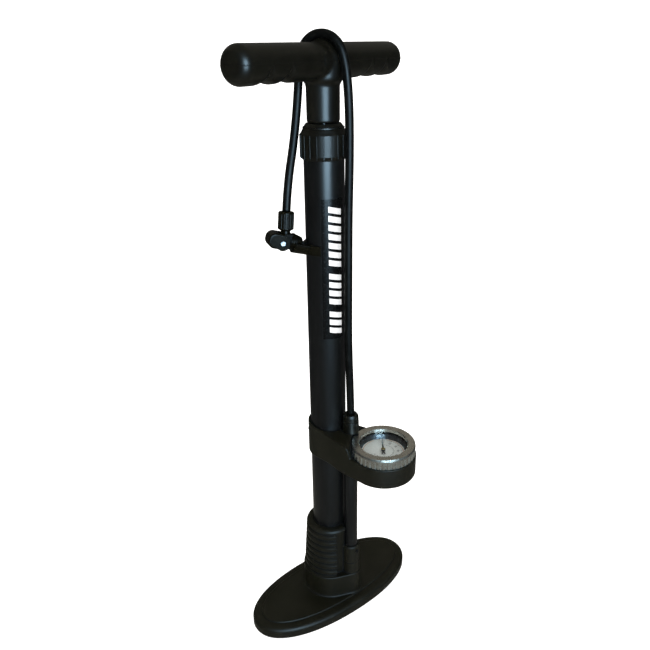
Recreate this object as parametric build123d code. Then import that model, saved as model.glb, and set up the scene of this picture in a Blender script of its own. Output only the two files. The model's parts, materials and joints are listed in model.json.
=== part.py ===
from build123d import *
import os
from math import cos, pi, radians, sin, tan

os.makedirs("parts", exist_ok=True)

# A track floor pump. Millimetres, +Z up. The origin is on the barrel's axis at floor level,
# and X runs along the long axis of the oval foot. The gauge side is -Y.

# ---- driving dimensions ------------------------------------------------------------
BARREL_R = 19.0             # outer radius of the steel barrel
BARREL_WALL = 1.2
BORE_R = BARREL_R - BARREL_WALL
BARREL_FOOT_Z = 28.0        # the barrel's lower end, seated in the foot's collar
BARREL_TOP_Z = 541.0
PLUG_TOP_Z = 46.0           # plug in the barrel's lower end, with the check valve below it
SEAT_Z = 42.0
RETAINER_TOP_Z = 30.0
AIRWAY_Z = 20.0             # drilling between the barrel and the pipe
SCREW_HEAD_Z = 8.0

FOOT_HALF_LENGTH = 106.5
FOOT_HALF_WIDTH = 47.0
FOOT_SHIFT = -1.8           # the plate's middle lies this far towards the gauge side
FOOT_RIM_Z = 12.0
FOOT_DECK_Z = 13.6          # top of the raised deck inside the rim
DECK_INSET = 10.5
FOOT_SQUARENESS = 2.2       # exponent of the superellipse, 2 is a plain ellipse
COLLAR_TOP_Z = 106.0
COLLAR_TOP_R = 26.9
COLLAR_LOW_R = 30.6
COLLAR_BAND_Z = 42.0        # top of the smooth band below the ribs
COLLAR_BAND_R = 31.6
COLLAR_BEAD_Z = 15.2        # top of the bead at the band's toe
COLLAR_GROOVES = 8
COLLAR_PITCH = 8.0
COLLAR_GAP = 44.0           # the ribs stop this many degrees either side of the pipe
COLLAR_GAP_R = 24.6

GAUGE_AZIMUTH = -68.0       # direction of the pipe, the gauge and the hose outlet
PIPE_REACH = 28.0           # barrel axis to pipe axis
PIPE_R = 7.5
PIPE_BORE_R = 4.5
PIPE_LOW_Z = 42.0
PIPE_TOP_Z = 212.0
SOCKET_R = 10.0
SOCKET_TOP_Z = 80.0

BRACKET_R = 21.6
BRACKET_LOW_Z = 199.5
BRACKET_TOP_Z = 239.0       # at the ring's back, from where the top slopes down
BROW_REACH = 35.0           # where the slope turns down towards the cup
BROW_Z = 230.6
GLAND_SEAT_Z = 232.0
GAUGE_BRANCH_Z = 215.0      # drilling from the pipe to the gauge
GAUGE_REACH = 67.0
CUP_R = 34.4
CUP_LOW_Z = 195.6
CUP_TOP_Z = 218.0
CUP_EDGE = 1.6
CUP_FLOOR_Z = 200.5
CUP_NECK_R = 29.4
CUP_NECK_Z = 223.0
CUP_BORE_R = 27.5
DIAL_Z = 219.0
DIAL_WHITE_R = 22.4
LENS_Z = 224.4
BEZEL_R = 33.4
BEZEL_TOP_Z = 229.6
BEZEL_OPENING_R = 25.2
BEZEL_KNURLS = 40
NEEDLE_ZERO = 52.0          # azimuth of the pointer at no pressure

CAP_LOW_Z = 515.0
CAP_TOP_Z = 546.5
CAP_SHOULDER_Z = 537.0
CAP_FACE_R = 16.0
CAP_R = 21.6
CAP_RIBS = 20
BUSH_LOW_Z = 505.0
LABEL_START = -137.0        # azimuths from which, and over which, the label is wrapped
LABEL_SWEEP = 71.0

HANDLE_Z = 597.8
HANDLE_HALF = 115.4
GRIP_R = 15.5
GRIP_END = 8.8              # rounding of the grips' ends
HANDLE_TURN = 17.5          # the handle stands turned about the rod by this much
LOBE_START = 46.5           # middle of the first finger lobe, along the handle
LOBE_PITCH = 25.0
LOBE_AXIS_RISE = 4.2        # the lobes are turned about a line above the grip's axis
LOBE_FLOOR_R = 15.4         # and the creases between them reach in to this radius
NECK_LOW_Z = 547.0
NECK_TOP_Z = 580.5
NECK_R = 15.3
BOSS_R = 17.4
BOSS_DOME_Z = 598.2
INSERT_R = 9.0
INSERT_TOP_Z = 580.0
ROD_R = 6.0
ROD_SPIGOT_R = 4.0
ROD_TOP_Z = 590.0
PISTON_TOP_Z = 84.0

HOSE_R = 4.0
GLAND_TOP_Z = 252.5
PORT_LEAN = 7.4             # lean of the chuck's hose port from upright

CHUCK_AZIMUTH = 162.0
CHUCK_TILT = 15.0           # the nozzle points down towards the barrel by this much
CHUCK_PIN_REACH = 44.0
CHUCK_PIN_Z = 440.7
CHUCK_AXIS_V = 2.0          # the nozzle's axis above the lever pin
NOZZLE_W = -19.5            # mouth of the nozzle, along the chuck from the pin
NOZZLE_R = 8.0
NOZZLE_LENGTH = 10.0
GROMMET_R = 5.2
GROMMET_BORE_R = 3.9
GROMMET_TOP = 5.5           # its inner end, from the mouth
CHEEK_IN = 5.4              # half width of the body between the lever's cheeks
CHEEK_OUT = 8.2
LEVER_END_W = 14.3
LEVER_PIN_R = 2.6

# ---- derived frames ----------------------------------------------------------------


def polar(reach, azimuth, z=0.0):
    return Vector(reach * cos(radians(azimuth)), reach * sin(radians(azimuth)), z)


PIPE_AXIS = polar(PIPE_REACH, GAUGE_AZIMUTH)
GAUGE_AXIS = polar(GAUGE_REACH, GAUGE_AZIMUTH)
GAUGE_SIDE = Rot(0, 0, GAUGE_AZIMUTH)       # local +X points from the barrel to the gauge
SOCKET_SCREW = Pos(PIPE_AXIS.X, PIPE_AXIS.Y, 0) * Rot(0, 0, -85) * Pos(SOCKET_R, 0, 73) * Rot(0, 90, 0)
BRACKET_SCREW = Rot(0, 0, GAUGE_AZIMUTH + 180) * Pos(BRACKET_R, 0, 220) * Rot(0, 90, 0)
HANDLE_FRAME = Rot(0, 0, HANDLE_TURN)       # local X is the handle's length, -Y its front


def chuck_plane():
    """Local X runs from the nozzle to the lever's end, Y is up, Z is the pin's axis."""
    outward = polar(cos(radians(CHUCK_TILT)), CHUCK_AZIMUTH, sin(radians(CHUCK_TILT)))
    pin_axis = polar(1, CHUCK_AZIMUTH - 90)
    return Plane(origin=polar(CHUCK_PIN_REACH, CHUCK_AZIMUTH, CHUCK_PIN_Z), x_dir=outward, z_dir=pin_axis)


CHUCK = chuck_plane()
PORT_DIRECTION = (HANDLE_FRAME * Pos(sin(radians(PORT_LEAN)), 0, cos(radians(PORT_LEAN)))).position
PORT_BASE = CHUCK.from_local_coords(Vector(-3.82, 1.07, 0))
PORT = Plane(origin=PORT_BASE, x_dir=polar(1, HANDLE_TURN + 90), z_dir=PORT_DIRECTION)
HOSE_NUT_LOW = 11.2         # along the port's axis
HOSE_NUT_TOP = 28.0

# ---- helpers -----------------------------------------------------------------------


def rod(radius, low, high, at=Vector(0, 0, 0)):
    """A cylinder along Z from low to high."""
    return Pos(at.X, at.Y, low) * extrude(Circle(radius), high - low)


def ring(outer, inner, low, high, at=Vector(0, 0, 0)):
    return rod(outer, low, high, at) - rod(inner, low, high, at)


def turned(points, degrees=360.0):
    """A solid of revolution about Z from (radius, z) points."""
    face = make_face(Plane.XZ * Polyline(*points, close=True))
    return revolve(face, Axis.Z, degrees)


def around(count, shape, at=Vector(0, 0, 0), start=0.0):
    """Copies of a shape, evenly turned about a vertical axis."""
    step = 360.0 / count
    return [Pos(at.X, at.Y, 0) * Rot(0, 0, start + i * step) * shape for i in range(count)]


def oval(inset, z):
    """The foot's outline, a superellipse, moved in by inset."""
    a = FOOT_HALF_LENGTH - inset
    b = FOOT_HALF_WIDTH - inset
    power = 2.0 / FOOT_SQUARENESS
    points = []
    steps = 32
    for i in range(steps):
        turn = 2 * pi * (i + 0.5) / steps
        c = cos(turn)
        s = sin(turn)
        x = a * abs(c) ** power * (1 if c > 0 else -1)
        y = FOOT_SHIFT + b * abs(s) ** power * (1 if s > 0 else -1)
        points.append((x, y, z))
    return make_face(Spline(*points, periodic=True))


def save(shape, name):
    solids = shape.solids() if hasattr(shape, "solids") else [s for part in shape for s in part.solids()]
    body = solids[0] if len(solids) == 1 else Compound(children=list(solids))
    export_step(body, f"parts/{name}.step")


# ---- foot --------------------------------------------------------------------------


def foot_plate():
    plate = extrude(oval(0, 0), FOOT_RIM_Z)
    plate = fillet(plate.edges().group_by(Axis.Z)[-1], 5.0)
    deck = extrude(oval(DECK_INSET, FOOT_RIM_Z - 1), FOOT_DECK_Z - FOOT_RIM_Z + 1)
    deck = fillet(deck.edges().group_by(Axis.Z)[-1], 1.2)
    return plate + deck


def foot_underside():
    """The hollow under the plate, with its ribs left standing."""
    wall = 3.5
    hollow_top = 9.0
    rib = 2.4
    hollow = extrude(oval(wall, 0), hollow_top)
    hollow -= rod(COLLAR_BAND_R + 1.0, 0, hollow_top)
    hollow -= Pos(0, 0, hollow_top / 2) * Box(2 * FOOT_HALF_LENGTH, rib, hollow_top)
    for x in (-76, -54, 54, 76):
        hollow -= Pos(x, 0, hollow_top / 2) * Box(rib, 2 * FOOT_HALF_WIDTH, hollow_top)
    for azimuth in (35, 145):
        hollow -= Rot(0, 0, azimuth) * Pos(0, 0, hollow_top / 2) * Box(130, rib, hollow_top)
    return hollow


def pear(radius, pipe_radius, low, high, soft):
    """A block round the barrel and the pipe together, its top edge softened."""
    outline = make_hull(Circle(radius).edges() + (Pos(PIPE_REACH, 0) * Circle(pipe_radius)).edges())
    block = Pos(0, 0, low) * extrude(outline, high - low)
    return GAUGE_SIDE * fillet(block.edges().group_by(Axis.Z)[-1], soft)


def collar():
    """The tapered, ribbed collar round the barrel, open towards the pipe."""
    body = turned([(0, 5), (COLLAR_LOW_R, 5), (COLLAR_LOW_R, COLLAR_BAND_Z), (COLLAR_TOP_R, COLLAR_TOP_Z - 3.4),
                   (COLLAR_TOP_R - 0.9, COLLAR_TOP_Z - 1.2), (COLLAR_TOP_R - 2.8, COLLAR_TOP_Z), (0, COLLAR_TOP_Z)])
    for i in range(COLLAR_GROOVES):
        z = COLLAR_TOP_Z - 6.0 - i * COLLAR_PITCH
        share = (COLLAR_TOP_Z - z) / (COLLAR_TOP_Z - COLLAR_BAND_Z)
        r = COLLAR_TOP_R + share * (COLLAR_LOW_R - COLLAR_TOP_R)
        body -= turned([(r - 2.6, z - 1.0), (r - 2.6, z + 1.0), (r - 1.2, z + 1.7), (r - 0.4, z + 2.1),
                        (r + 1.0, z + 3.4), (r + 1.0, z - 3.4), (r - 0.4, z - 2.1), (r - 1.2, z - 1.7)])
    gap = turned([(COLLAR_GAP_R, COLLAR_BAND_Z), (40, COLLAR_BAND_Z), (40, COLLAR_TOP_Z + 1),
                  (COLLAR_GAP_R, COLLAR_TOP_Z + 1)], 2 * COLLAR_GAP)
    body -= Rot(0, 0, GAUGE_AZIMUTH - COLLAR_GAP) * gap
    body += pear(COLLAR_BAND_R, SOCKET_R + 1.0, 5, COLLAR_BAND_Z, 1.0)
    body += pear(COLLAR_BAND_R + 1.1, SOCKET_R + 2.2, 5, COLLAR_BEAD_Z, 1.1)
    return body


def pipe_socket():
    boss = rod(SOCKET_R, 5, SOCKET_TOP_Z, PIPE_AXIS)
    boss = chamfer(boss.edges().group_by(Axis.Z)[-1], 1.2)
    boss -= ring(SOCKET_R + 1, SOCKET_R - 0.5, 56.6, 57.4, PIPE_AXIS)
    web_height = SOCKET_TOP_Z - 7.0
    web = Pos(PIPE_REACH / 2 + 4, 0, 5.0 + web_height / 2) * Box(PIPE_REACH - 4, 13, web_height)
    return boss + GAUGE_SIDE * web


def base_foot():
    foot = foot_plate() - foot_underside() + collar()
    foot += pipe_socket()
    # seats for the barrel, the pipe and the valve, and the air way between them
    foot -= rod(BARREL_R, BARREL_FOOT_Z, COLLAR_TOP_Z + 1)
    foot -= rod(PIPE_R, PIPE_LOW_Z - 1.0, SOCKET_TOP_Z + 1, PIPE_AXIS)
    foot -= rod(PIPE_R + 0.8, SOCKET_TOP_Z, COLLAR_TOP_Z + 1, PIPE_AXIS)
    foot -= rod(3.0, AIRWAY_Z, PIPE_LOW_Z, PIPE_AXIS)
    foot -= rod(3.0, AIRWAY_Z, BARREL_FOOT_Z)
    foot -= GAUGE_SIDE * Pos(0, 0, AIRWAY_Z) * Rot(0, 90, 0) * extrude(Circle(2.0), PIPE_REACH)
    for at in screw_places():
        foot -= rod(4.2, 0, SCREW_HEAD_Z, at)
        foot -= rod(2.0, SCREW_HEAD_Z, BARREL_FOOT_Z, at)
    foot -= SOCKET_SCREW * extrude(Circle(1.5), -1.8)
    return foot


def screw_places():
    return [polar(12.0, 22 + 120 * i) for i in range(3)]


def foot_screws():
    screws = []
    for at in screw_places():
        head = rod(4.0, SCREW_HEAD_Z - 3.0, SCREW_HEAD_Z, at)
        head -= Pos(at.X, at.Y, SCREW_HEAD_Z - 2.4) * Box(5.0, 1.0, 1.4)
        head -= Pos(at.X, at.Y, SCREW_HEAD_Z - 2.4) * Box(1.0, 5.0, 1.4)
        screws.append(head + rod(2.0, SCREW_HEAD_Z - 0.5, 40.0, at))
    return screws


def socket_screw():
    head = SOCKET_SCREW * extrude(Circle(2.1), 0.8)
    shank = SOCKET_SCREW * extrude(Circle(1.5), -1.8)
    slot = SOCKET_SCREW * Pos(0, 0, 0.7) * Box(0.6, 4.4, 0.6)
    return head + shank - slot


# ---- barrel ------------------------------------------------------------------------


def barrel_tube():
    return ring(BARREL_R, BORE_R, BARREL_FOOT_Z, BARREL_TOP_Z)


def barrel_end_plug():
    plug = rod(BORE_R, BARREL_FOOT_Z, PLUG_TOP_Z)
    plug -= ring(BORE_R + 1, BORE_R - 2.2, 35.0, 37.4)
    plug -= rod(5.0, BARREL_FOOT_Z, SEAT_Z)
    plug -= rod(2.5, SEAT_Z, PLUG_TOP_Z)
    for at in screw_places():
        plug -= rod(2.0, BARREL_FOOT_Z, 40.0, at)
    return plug


def end_plug_seal():
    return Pos(0, 0, 36.2) * Torus(BORE_R - 1.1, 1.1)


def check_valve_seat():
    return ring(5.0, 2.5, SEAT_Z - 1.2, SEAT_Z)


def check_valve_retainer():
    plate = rod(5.0, BARREL_FOOT_Z, RETAINER_TOP_Z)
    for hole in around(3, rod(1.0, BARREL_FOOT_Z, RETAINER_TOP_Z, Vector(1.7, 0, 0))):
        plate -= hole
    return plate


def check_valve_poppet():
    disc = rod(3.9, SEAT_Z - 3.0, SEAT_Z - 1.25)
    nose = Pos(0, 0, SEAT_Z - 1.25) * Cone(1.9, 1.0, 1.0, align=(Align.CENTER, Align.CENTER, Align.MIN))
    return disc + nose + rod(0.9, SEAT_Z - 7.0, SEAT_Z - 3.0)


def check_valve_spring():
    """A light coil between the retainer and the poppet."""
    low = RETAINER_TOP_Z + 0.5
    height = SEAT_Z - 3.0 - 0.5 - low
    wire = 0.35
    path = Pos(0, 0, low) * Helix(pitch=height / 5, height=height, radius=2.6)
    start = Plane(origin=path @ 0, z_dir=path % 0)
    return sweep(start * Circle(wire), path=path)


def rod_guide_bush():
    bush = rod(BORE_R, BUSH_LOW_Z, BARREL_TOP_Z) + rod(BARREL_R, BARREL_TOP_Z, BARREL_TOP_Z + 2.4)
    bush -= rod(ROD_R + 0.05, BUSH_LOW_Z, BARREL_TOP_Z + 3)
    bush -= rod(9.0, BARREL_TOP_Z - 2.0, BARREL_TOP_Z + 3)
    for slot in around(6, Pos(12.6, 0, (BUSH_LOW_Z + 530) / 2) * Box(3.2, 3.2, 530 - BUSH_LOW_Z)):
        bush -= slot
    return bush


def rod_wiper():
    return turned([(ROD_R + 0.06, BARREL_TOP_Z - 2.0), (9.0, BARREL_TOP_Z - 2.0), (9.0, BARREL_TOP_Z + 2.4),
                   (7.6, BARREL_TOP_Z + 2.4), (ROD_R + 0.06, BARREL_TOP_Z + 1.4)])


def top_cap():
    """The ribbed cap screwed over the barrel's upper end."""
    inner_top = BARREL_TOP_Z + 2.4
    fit_r = BARREL_R + 0.05
    outside = Polyline((fit_r, CAP_LOW_Z), (BARREL_R + 1.0, CAP_LOW_Z), (CAP_R, CAP_LOW_Z + 3.6),
                       (CAP_R, CAP_SHOULDER_Z), (CAP_R - 0.4, CAP_SHOULDER_Z + 0.8))
    shoulder = Spline((CAP_R - 0.4, CAP_SHOULDER_Z + 0.8), (19.4, 541.0), (17.5, 544.6), (CAP_FACE_R, CAP_TOP_Z))
    inside = Polyline((CAP_FACE_R, CAP_TOP_Z), (ROD_R + 0.6, CAP_TOP_Z), (ROD_R + 0.6, inner_top), (fit_r, inner_top),
                      (fit_r, CAP_LOW_Z))
    cap = revolve(Plane.XZ * make_face([outside, shoulder, inside]), Axis.Z)
    rib_low = CAP_LOW_Z + 1.4
    rib = Pos(CAP_R - 0.3, 0, (rib_low + CAP_SHOULDER_Z) / 2) * Box(1.6, 1.1, CAP_SHOULDER_Z - rib_low)
    for bar in around(CAP_RIBS, rib):
        cap += bar
    return cap


def barrel_label():
    """A wrapped sticker on the barrel's front left."""
    outer = BARREL_R + 0.25
    low = 341.0
    high = 481.0
    strip = turned([(BARREL_R, low), (outer, low), (outer, high), (BARREL_R, high)], LABEL_SWEEP)
    return Rot(0, 0, LABEL_START) * strip


# ---- pipe and gauge bracket ------------------------------------------------------------


def air_pipe():
    return ring(PIPE_R, PIPE_BORE_R, PIPE_LOW_Z, PIPE_TOP_Z, PIPE_AXIS)


def pipe_seals():
    low = ring(PIPE_R, PIPE_BORE_R, PIPE_LOW_Z - 1.0, PIPE_LOW_Z, PIPE_AXIS)
    high = ring(PIPE_R, PIPE_BORE_R, PIPE_TOP_Z, PIPE_TOP_Z + 1.0, PIPE_AXIS)
    return [low, high]


def bracket_side_profile():
    """Outline of the bracket seen from the side: X out from the barrel, Y up."""
    back = -BRACKET_R - 1
    far = GAUGE_REACH + CUP_R + 1
    lip = GAUGE_REACH - CUP_R + 11.5
    cup_start = GAUGE_REACH - 30
    slope = (BROW_REACH - back, BROW_Z - BRACKET_TOP_Z)
    top = [Line((back, BRACKET_LOW_Z), (back, BRACKET_TOP_Z)),
           Line((back, BRACKET_TOP_Z), (BROW_REACH, BROW_Z)),
           Spline((BROW_REACH, BROW_Z), (lip, CUP_TOP_Z), tangents=[slope, (0.3, -1)]),
           Line((lip, CUP_TOP_Z), (far, CUP_TOP_Z)),
           Line((far, CUP_TOP_Z), (far, CUP_LOW_Z))]
    low = [Line((far, CUP_LOW_Z), (cup_start, CUP_LOW_Z)),
           Spline((cup_start, CUP_LOW_Z), (8, BRACKET_LOW_Z), tangents=[(-1, 0), (-1, 0)]),
           Line((8, BRACKET_LOW_Z), (back, BRACKET_LOW_Z))]
    return make_face(top + low)


def gauge_bracket():
    """Clamp ring, arm and gauge cup in one moulding."""
    local_gauge = Vector(GAUGE_REACH, 0, 0)
    local_pipe = Vector(PIPE_REACH, 0, 0)
    outline = make_hull(Circle(BRACKET_R).edges() + (Pos(GAUGE_REACH, 0) * Circle(CUP_R)).edges())
    block = Pos(0, 0, CUP_LOW_Z) * extrude(outline, BRACKET_TOP_Z - CUP_LOW_Z)
    side = Plane.XZ * bracket_side_profile()
    body = block & extrude(side, 2 * CUP_R, both=True)
    rim = body.edges().group_by(Axis.Z)[0].filter_by(GeomType.CIRCLE)
    body = fillet(rim, CUP_EDGE)
    # the top falls away on the right, and has a flat seat for the gland nut and room for the bezel
    fall = Polyline((-12.5, 232), (-28, 221), (-40, 221), (-40, 245), (-12.5, 245), close=True)
    body -= Pos(8, 0, 0) * extrude(Plane.YZ * mirror(make_face(fall), Plane.YZ), GAUGE_REACH)
    body += rod(9.4, GLAND_SEAT_Z - 4, GLAND_SEAT_Z, local_pipe)
    body -= rod(9.4, GLAND_SEAT_Z, BRACKET_TOP_Z, local_pipe)
    body -= rod(BEZEL_R + 0.6, CUP_TOP_Z, BRACKET_TOP_Z, local_gauge)
    body += rod(CUP_NECK_R, CUP_TOP_Z - 1, CUP_NECK_Z, local_gauge)
    body -= rod(BARREL_R, CUP_LOW_Z, BRACKET_TOP_Z)
    body -= rod(CUP_BORE_R, DIAL_Z - 0.8, CUP_NECK_Z, local_gauge)
    body -= rod(CUP_BORE_R - 2, CUP_FLOOR_Z, DIAL_Z, local_gauge)
    # pipe socket from below, hose barb seat from above, and the branch to the gauge
    body -= rod(PIPE_R, CUP_LOW_Z, PIPE_TOP_Z + 1.0, local_pipe)
    body -= rod(3.0, PIPE_TOP_Z, GLAND_SEAT_Z - 4, local_pipe)
    body -= rod(4.0, GLAND_SEAT_Z - 6, GLAND_SEAT_Z, local_pipe)
    body -= Pos(PIPE_REACH, 0, GAUGE_BRANCH_Z) * Rot(0, 90, 0) * extrude(Circle(1.2), 20)
    body = GAUGE_SIDE * body
    body -= BRACKET_SCREW * extrude(Circle(2.0), -(BRACKET_R - BARREL_R) - 0.5)
    return body


def bracket_screw():
    shank = BRACKET_SCREW * extrude(Circle(2.0), -(BRACKET_R - BARREL_R))
    head = BRACKET_SCREW * extrude(Circle(3.6), 2.4)
    head -= BRACKET_SCREW * Pos(0, 0, 1.4) * extrude(RegularPolygon(1.6, 6), 1.2)
    return shank + head


def hose_barb():
    """Brass tail seated in the bracket, on which the hose is pushed."""
    seated = ring(4.0, 1.6, GLAND_SEAT_Z - 4, GLAND_SEAT_Z + 6, PIPE_AXIS)
    tail = ring(2.6, 1.6, GLAND_SEAT_Z + 6, GLAND_TOP_Z - 1.0, PIPE_AXIS)
    return seated + tail


def hose_gland_nut():
    z = GLAND_SEAT_Z
    groove = z + 12.8
    nut = turned([(4.0, z), (8.8, z), (8.7, groove - 1.2), (8.1, groove - 0.6), (8.1, groove + 0.4),
                  (8.5, groove + 1.0), (8.2, GLAND_TOP_Z - 2.2), (6.8, GLAND_TOP_Z), (4.4, GLAND_TOP_Z),
                  (4.4, z + 6.1), (4.0, z + 6.1)])
    return Pos(PIPE_AXIS.X, PIPE_AXIS.Y, 0) * nut


# ---- gauge -------------------------------------------------------------------------


def at_gauge(shape):
    return Pos(GAUGE_AXIS.X, GAUGE_AXIS.Y, 0) * shape


def gauge_socket():
    """Brass block that carries the Bourdon tube, screwed to the cup's floor."""
    block = Rot(0, 0, GAUGE_AZIMUTH + 180) * Pos(14, 0, CUP_FLOOR_Z + 3) * Box(11, 9, 6)
    return at_gauge(block)


def bourdon_tube():
    """The curved, closed pressure tube, flattened and open over a quarter turn."""
    low = CUP_FLOOR_Z + 7.0
    bow = turned([(16.5, low), (19.5, low), (19.5, low + 6), (16.5, low + 6)], 265)
    return at_gauge(Rot(0, 0, GAUGE_AZIMUTH + 180) * bow)


def gauge_movement():
    """Two small plates and pillars below the dial, with the pointer's bearing."""
    high = DIAL_Z - 1.6
    shape = ring(9.0, 1.3, high - 1.6, high)
    for pillar in around(2, rod(1.6, CUP_FLOOR_Z, high - 1.0, Vector(6.4, 0, 0)), start=20):
        shape += pillar
    return at_gauge(shape)


def dial_face():
    return at_gauge(ring(CUP_BORE_R, 1.8, DIAL_Z - 0.8, DIAL_Z))


def dial_ring():
    """The bright sloped ring between the dial and the glass."""
    low = DIAL_Z
    high = LENS_Z - 1.2
    return at_gauge(turned([(DIAL_WHITE_R, low), (CUP_BORE_R, low), (CUP_BORE_R, high), (CUP_BORE_R - 2.0, high)]))


def lens_gasket():
    return at_gauge(ring(CUP_NECK_R, CUP_BORE_R - 1.6, LENS_Z - 1.2, LENS_Z) - rod(CUP_NECK_R + 1, 0, CUP_NECK_Z))


def gauge_lens():
    return at_gauge(rod(CUP_NECK_R, LENS_Z, LENS_Z + 2.0))


def gauge_bezel():
    """Knurled screw ring that holds the glass."""
    seat = LENS_Z + 2.0
    profile = [(CUP_NECK_R, CUP_TOP_Z), (BEZEL_R - 0.6, CUP_TOP_Z), (BEZEL_R, CUP_TOP_Z + 0.6),
               (BEZEL_R, BEZEL_TOP_Z - 2.0), (BEZEL_R - 0.3, BEZEL_TOP_Z - 0.6), (BEZEL_R - 0.8, BEZEL_TOP_Z),
               (BEZEL_OPENING_R + 0.7, BEZEL_TOP_Z), (BEZEL_OPENING_R, BEZEL_TOP_Z - 0.7),
               (BEZEL_OPENING_R, seat), (CUP_NECK_R, seat)]
    bezel = turned(profile)
    notch = rod(1.7, CUP_TOP_Z, BEZEL_TOP_Z - 3.4, Vector(BEZEL_R + 0.95, 0, 0))
    for cut in around(BEZEL_KNURLS, notch):
        bezel -= cut
    return at_gauge(bezel)


def gauge_needle():
    """Pointer, hub and shaft in one piece."""
    z = DIAL_Z + 1.0
    blade = Polyline((-7.5, -1.9), (-5.5, 0), (-7.5, 1.9), (-2.0, 0.9), (0, 1.0), (20.0, 0.25), (20.0, -0.25),
                     (0, -1.0), (-2.0, -0.9), close=True)
    pointer = Pos(0, 0, z) * extrude(make_face(blade), 0.6)
    hub = rod(2.2, z - 0.4, z + 1.6) + rod(1.25, DIAL_Z - 4.0, z)
    return at_gauge(Rot(0, 0, NEEDLE_ZERO) * (pointer + hub))


# ---- handle, rod and piston ------------------------------------------------------------


def handle():
    """Moulded T handle: round grips with finger lobes below, a domed boss and a neck."""
    grip = Pos(-HANDLE_HALF, 0, HANDLE_Z) * Rot(0, 90, 0) * extrude(Circle(GRIP_R), 2 * HANDLE_HALF)
    ends = grip.edges().group_by(Axis.X)
    grip = fillet(ends[0] + ends[-1], GRIP_END)
    creases = finger_creases()
    grip -= creases
    grip -= mirror(creases, Plane.YZ)
    side = Polyline((0, NECK_LOW_Z), (NECK_R - 0.8, NECK_LOW_Z), (NECK_R - 0.2, NECK_LOW_Z + 0.8),
                    (NECK_R, NECK_TOP_Z), (BOSS_R - 0.6, NECK_TOP_Z + 1.0), (BOSS_R, NECK_TOP_Z + 3.0),
                    (BOSS_R, BOSS_DOME_Z))
    dome = CenterArc((0, BOSS_DOME_Z), BOSS_R, 0, 90)
    axis = Line((0, BOSS_DOME_Z + BOSS_R), (0, NECK_LOW_Z))
    boss = revolve(Plane.XZ * make_face([side, dome, axis]), Axis.Z)
    body = grip + boss
    body -= rod(INSERT_R, NECK_LOW_Z, INSERT_TOP_Z)
    body -= rod(ROD_R, NECK_LOW_Z, ROD_TOP_Z)
    return HANDLE_FRAME * body


def finger_creases():
    """What is cut from under one grip, so that round lobes stand between two creases."""
    peak = GRIP_R + LOBE_AXIS_RISE + 0.2
    half = LOBE_PITCH / 2
    depth = peak - LOBE_FLOOR_R
    radius = (half ** 2 + depth ** 2) / (2 * depth)
    band = Pos(LOBE_START + LOBE_PITCH, peak) * Rectangle(2 * LOBE_PITCH, 2 * depth)
    for i in range(3):
        band -= Pos(LOBE_START + i * LOBE_PITCH, peak - radius) * Circle(radius)
    return Pos(0, 0, HANDLE_Z + LOBE_AXIS_RISE) * revolve(band, Axis.X)


def handle_insert():
    """Steel sleeve moulded into the neck, which the rod screws into."""
    return ring(INSERT_R, ROD_R, NECK_LOW_Z + 2.0, INSERT_TOP_Z)


def piston_rod():
    return rod(ROD_R, PISTON_TOP_Z, ROD_TOP_Z) + rod(ROD_SPIGOT_R, PLUG_TOP_Z + 4.5, PISTON_TOP_Z)


def piston_head():
    head = ring(BORE_R - 0.5, ROD_SPIGOT_R, PISTON_TOP_Z - 24, PISTON_TOP_Z)
    head -= ring(BORE_R, BORE_R - 3.0, PISTON_TOP_Z - 14, PISTON_TOP_Z - 6)
    return head


def piston_cup():
    """Rubber cup seal with a flared lip, below the head."""
    z = PISTON_TOP_Z - 24
    lip_r = BORE_R - 0.08
    return turned([(ROD_SPIGOT_R, z - 2.5), (BORE_R - 3.5, z - 2.5), (BORE_R - 1.4, z - 6.0), (lip_r, z - 6.0),
                   (lip_r, z - 4.0), (BORE_R - 1.0, z), (ROD_SPIGOT_R, z)])


def piston_washer():
    return ring(11.0, ROD_SPIGOT_R, PISTON_TOP_Z - 28.0, PISTON_TOP_Z - 26.5)


def piston_nut():
    top = PISTON_TOP_Z - 28.0
    nut = Pos(0, 0, top - 4.5) * extrude(RegularPolygon(7.0, 6), 4.5)
    return nut - rod(ROD_SPIGOT_R, top - 5, top)


def piston_bumper():
    return ring(12.0, ROD_R, PISTON_TOP_Z, PISTON_TOP_Z + 6.0)


# ---- hose --------------------------------------------------------------------------
# Route points as (along the handle, behind it, height). The hose rises from the gland in
# front of the barrel, goes over the handle's boss and hangs behind the grip to the chuck.
HOSE_ROUTE = [
    (2.2, -27.9, 252.6),
    (1.0, -28.0, 283.0),
    (-1.7, -27.6, 335.0),
    (-1.7, -27.9, 400.0),
    (-0.5, -27.3, 465.0),
    (0.6, -28.2, 520.0),
    (1.4, -27.0, 570.5),
    (0.6, -22.4, 606.4),
    (-0.6, -9.3, 619.8),
    (-2.4, 9.3, 619.8),
    (-3.4, 22.4, 606.4),
    (-4.4, 24.2, 572.5),
    (-12.9, 24.0, 531.0),
]
HOSE_LEAD = 25.0            # straight run into the nut at the chuck


def hose_points():
    route = [(HANDLE_FRAME * Pos(*point)).position for point in HOSE_ROUTE]
    route.append(PORT_BASE + PORT_DIRECTION * (HOSE_NUT_TOP + HOSE_LEAD))
    route.append(PORT_BASE + PORT_DIRECTION * HOSE_NUT_TOP)
    return route


def air_hose():
    route = hose_points()
    radii = []
    for before, at, after in zip(route, route[1:], route[2:]):
        run = min((at - before).length, (after - at).length)
        turn = (at - before).get_angle(after - at)
        radii.append(0.45 * run / tan(radians(turn) / 2))
    line = FilletPolyline(*route, radius=radii)
    tube = sweep(Plane(origin=line @ 0, z_dir=line % 0) * Circle(HOSE_R), path=line)
    print("hose bend radii:", [round(r) for r in radii])
    print("hose length:", round(line.length, 1), "volume over section x length:",
          round(tube.volume / (pi * HOSE_R ** 2 * line.length), 4))
    return tube


# ---- chuck -------------------------------------------------------------------------


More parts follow.
